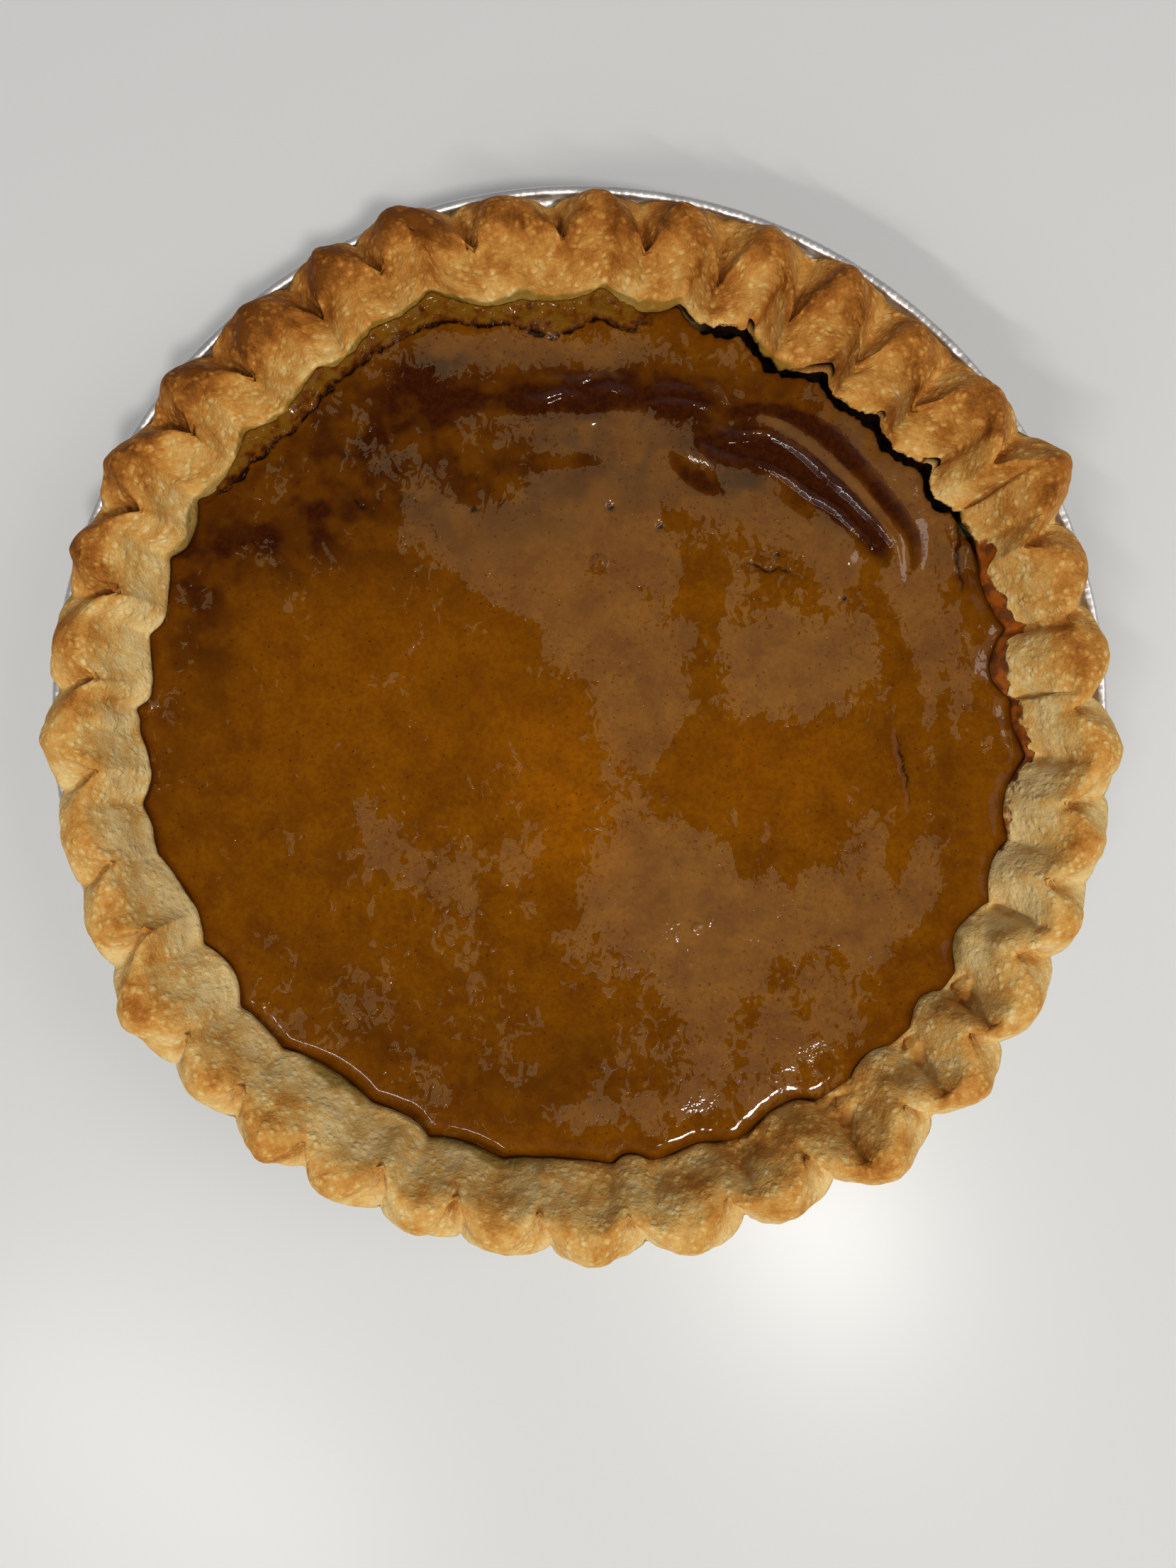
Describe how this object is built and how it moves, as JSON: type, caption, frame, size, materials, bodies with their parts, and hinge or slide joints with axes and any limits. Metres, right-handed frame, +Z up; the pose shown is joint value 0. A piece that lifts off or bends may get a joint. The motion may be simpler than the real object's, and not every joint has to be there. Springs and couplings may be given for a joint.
{
  "type": "pumpkin pie",
  "caption": "Whole round baked pie with a set pumpkin filling and a hand-fluted pastry rim, resting in its foil tin.",
  "frame": {"origin": "middle of the underside of the foil tin's flat base", "axes": "+Z up out of the pie, -Y towards the front, where the crust leans over the tin's rim, +X to the right"},
  "size_m": [0.2224, 0.2253, 0.0413],
  "materials": {
    "foil": "bright",
    "pastry": "baked, matt",
    "filling": "glossy"
  },
  "bodies": {
    "root": {"foil_tin": "foil", "pastry_crust": "pastry", "pumpkin_filling": "filling"}
  },
  "joints": []
}
